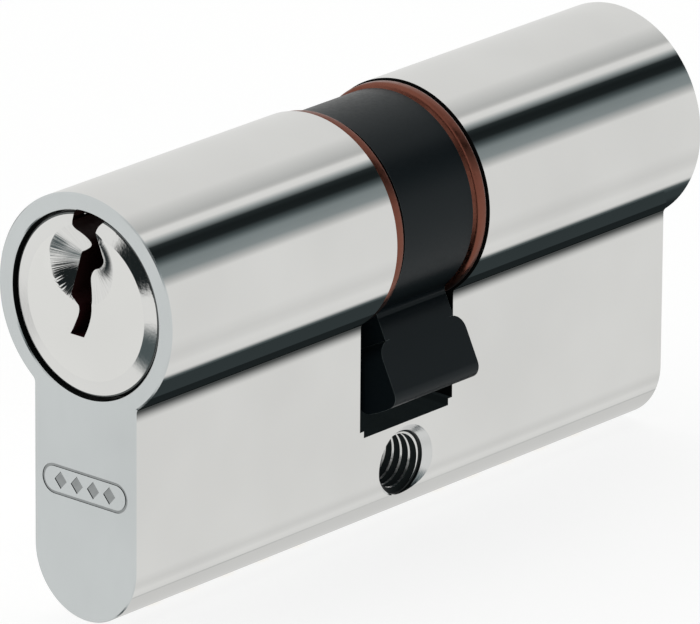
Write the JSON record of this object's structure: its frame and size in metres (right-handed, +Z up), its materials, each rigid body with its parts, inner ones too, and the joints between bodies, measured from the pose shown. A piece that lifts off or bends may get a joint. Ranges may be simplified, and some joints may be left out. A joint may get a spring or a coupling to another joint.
{
  "type": "double lock cylinder",
  "caption": "Double Euro-profile pin lock cylinder with a keyway at each end, a black cam between the two plugs, and a threaded hole for the fixing screw.",
  "frame": {"origin": "the middle of the fixing screw hole, half way along the cylinder and half way through the web", "axes": "+Y along the cylinder to the rear key face, +X across the web to the side that the cam's nose leans to, +Z up from the web to the round head"},
  "size_m": [0.017, 0.06, 0.033],
  "materials": {
    "body_nickel": "brass with a polished nickel plate; satin key faces",
    "plug_nickel": "brass with a nickel plate, turned face",
    "cam_black": "sintered steel, black oxide",
    "circlip_copper": "copper-bronze spring wire, semi-bright",
    "coupling_steel": "bare sintered steel",
    "rivet_brass": "turned",
    "stopper_brass": "turned, pressed in and filed flush",
    "key_pin_brass": "turned",
    "driver_pin_steel": "turned",
    "spring_steel": "drawn stainless wire"
  },
  "bodies": {
    "housing": {"cylinder_body": "body_nickel", "stoppers_front": "stopper_brass", "stoppers_rear": "stopper_brass", "spring_front_1": "spring_steel", "spring_front_2": "spring_steel", "spring_front_3": "spring_steel", "spring_front_4": "spring_steel", "spring_front_5": "spring_steel", "spring_rear_1": "spring_steel", "spring_rear_2": "spring_steel", "spring_rear_3": "spring_steel", "spring_rear_4": "spring_steel", "spring_rear_5": "spring_steel"},
    "plug_front": {"plug_front": "plug_nickel", "circlip_front": "circlip_copper"},
    "plug_rear": {"plug_rear": "plug_nickel", "circlip_rear": "circlip_copper"},
    "cam": {"cam": "cam_black"},
    "coupling_front": {"coupling_front": "coupling_steel", "coupling_rivet": "rivet_brass"},
    "coupling_rear": {"coupling_rear": "coupling_steel"},
    "key_pin_front_1": {"key_pin_front_1": "key_pin_brass"},
    "driver_pin_front_1": {"driver_pin_front_1": "driver_pin_steel"},
    "key_pin_front_2": {"key_pin_front_2": "key_pin_brass"},
    "driver_pin_front_2": {"driver_pin_front_2": "driver_pin_steel"},
    "key_pin_front_3": {"key_pin_front_3": "key_pin_brass"},
    "driver_pin_front_3": {"driver_pin_front_3": "driver_pin_steel"},
    "key_pin_front_4": {"key_pin_front_4": "key_pin_brass"},
    "driver_pin_front_4": {"driver_pin_front_4": "driver_pin_steel"},
    "key_pin_front_5": {"key_pin_front_5": "key_pin_brass"},
    "driver_pin_front_5": {"driver_pin_front_5": "driver_pin_steel"},
    "key_pin_rear_1": {"key_pin_rear_1": "key_pin_brass"},
    "driver_pin_rear_1": {"driver_pin_rear_1": "driver_pin_steel"},
    "key_pin_rear_2": {"key_pin_rear_2": "key_pin_brass"},
    "driver_pin_rear_2": {"driver_pin_rear_2": "driver_pin_steel"},
    "key_pin_rear_3": {"key_pin_rear_3": "key_pin_brass"},
    "driver_pin_rear_3": {"driver_pin_rear_3": "driver_pin_steel"},
    "key_pin_rear_4": {"key_pin_rear_4": "key_pin_brass"},
    "driver_pin_rear_4": {"driver_pin_rear_4": "driver_pin_steel"},
    "key_pin_rear_5": {"key_pin_rear_5": "key_pin_brass"},
    "driver_pin_rear_5": {"driver_pin_rear_5": "driver_pin_steel"}
  },
  "joints": [
    {"name": "plug_front_turn", "type": "hinge", "parent": "housing", "child": "plug_front", "pos_m": [0, 0, 0.0193], "axis": [0, 1, 0], "continuous": true},
    {"name": "plug_rear_turn", "type": "hinge", "parent": "housing", "child": "plug_rear", "pos_m": [0, 0, 0.0193], "axis": [0, 1, 0], "continuous": true},
    {"name": "cam_turn", "type": "hinge", "parent": "housing", "child": "cam", "pos_m": [0, 0, 0.0193], "axis": [0, 1, 0], "continuous": true},
    {"name": "coupling_front_shift", "type": "slide", "parent": "plug_front", "child": "coupling_front", "axis": [0, 1, 0], "range_m": [-0.0016, 0]},
    {"name": "coupling_rear_shift", "type": "slide", "parent": "plug_rear", "child": "coupling_rear", "axis": [0, 1, 0], "range_m": [-0.0016, 0]},
    {"name": "key_pin_front_1_lift", "type": "slide", "parent": "plug_front", "child": "key_pin_front_1", "axis": [0, 0, 1], "range_m": [0, 0.0034]},
    {"name": "driver_pin_front_1_push", "type": "slide", "parent": "housing", "child": "driver_pin_front_1", "axis": [0, 0, -1], "range_m": [0, 0.002], "stiffness_N_per_m": 70, "springref_m": -0.004, "deforming": ["spring_front_1"]},
    {"name": "key_pin_front_2_lift", "type": "slide", "parent": "plug_front", "child": "key_pin_front_2", "axis": [0, 0, 1], "range_m": [0, 0.0016]},
    {"name": "driver_pin_front_2_push", "type": "slide", "parent": "housing", "child": "driver_pin_front_2", "axis": [0, 0, -1], "range_m": [0, 0.002], "stiffness_N_per_m": 70, "springref_m": -0.004, "deforming": ["spring_front_2"]},
    {"name": "key_pin_front_3_lift", "type": "slide", "parent": "plug_front", "child": "key_pin_front_3", "axis": [0, 0, 1], "range_m": [0, 0.0026]},
    {"name": "driver_pin_front_3_push", "type": "slide", "parent": "housing", "child": "driver_pin_front_3", "axis": [0, 0, -1], "range_m": [0, 0.002], "stiffness_N_per_m": 70, "springref_m": -0.004, "deforming": ["spring_front_3"]},
    {"name": "key_pin_front_4_lift", "type": "slide", "parent": "plug_front", "child": "key_pin_front_4", "axis": [0, 0, 1], "range_m": [0, 0.0012]},
    {"name": "driver_pin_front_4_push", "type": "slide", "parent": "housing", "child": "driver_pin_front_4", "axis": [0, 0, -1], "range_m": [0, 0.002], "stiffness_N_per_m": 70, "springref_m": -0.004, "deforming": ["spring_front_4"]},
    {"name": "key_pin_front_5_lift", "type": "slide", "parent": "plug_front", "child": "key_pin_front_5", "axis": [0, 0, 1], "range_m": [0, 0.002]},
    {"name": "driver_pin_front_5_push", "type": "slide", "parent": "housing", "child": "driver_pin_front_5", "axis": [0, 0, -1], "range_m": [0, 0.002], "stiffness_N_per_m": 70, "springref_m": -0.004, "deforming": ["spring_front_5"]},
    {"name": "key_pin_rear_1_lift", "type": "slide", "parent": "plug_rear", "child": "key_pin_rear_1", "axis": [0, 0, 1], "range_m": [0, 0.0018]},
    {"name": "driver_pin_rear_1_push", "type": "slide", "parent": "housing", "child": "driver_pin_rear_1", "axis": [0, 0, -1], "range_m": [0, 0.002], "stiffness_N_per_m": 70, "springref_m": -0.004, "deforming": ["spring_rear_1"]},
    {"name": "key_pin_rear_2_lift", "type": "slide", "parent": "plug_rear", "child": "key_pin_rear_2", "axis": [0, 0, 1], "range_m": [0, 0.003]},
    {"name": "driver_pin_rear_2_push", "type": "slide", "parent": "housing", "child": "driver_pin_rear_2", "axis": [0, 0, -1], "range_m": [0, 0.002], "stiffness_N_per_m": 70, "springref_m": -0.004, "deforming": ["spring_rear_2"]},
    {"name": "key_pin_rear_3_lift", "type": "slide", "parent": "plug_rear", "child": "key_pin_rear_3", "axis": [0, 0, 1], "range_m": [0, 0.0013]},
    {"name": "driver_pin_rear_3_push", "type": "slide", "parent": "housing", "child": "driver_pin_rear_3", "axis": [0, 0, -1], "range_m": [0, 0.002], "stiffness_N_per_m": 70, "springref_m": -0.004, "deforming": ["spring_rear_3"]},
    {"name": "key_pin_rear_4_lift", "type": "slide", "parent": "plug_rear", "child": "key_pin_rear_4", "axis": [0, 0, 1], "range_m": [0, 0.0024]},
    {"name": "driver_pin_rear_4_push", "type": "slide", "parent": "housing", "child": "driver_pin_rear_4", "axis": [0, 0, -1], "range_m": [0, 0.002], "stiffness_N_per_m": 70, "springref_m": -0.004, "deforming": ["spring_rear_4"]},
    {"name": "key_pin_rear_5_lift", "type": "slide", "parent": "plug_rear", "child": "key_pin_rear_5", "axis": [0, 0, 1], "range_m": [0, 0.0015]},
    {"name": "driver_pin_rear_5_push", "type": "slide", "parent": "housing", "child": "driver_pin_rear_5", "axis": [0, 0, -1], "range_m": [0, 0.002], "stiffness_N_per_m": 70, "springref_m": -0.004, "deforming": ["spring_rear_5"]}
  ],
  "couplings": [
    {"joint": "cam_turn", "follows": "plug_front_turn", "ratio": 1},
    {"joint": "coupling_rear_shift", "follows": "coupling_front_shift", "ratio": 1}
  ]
}
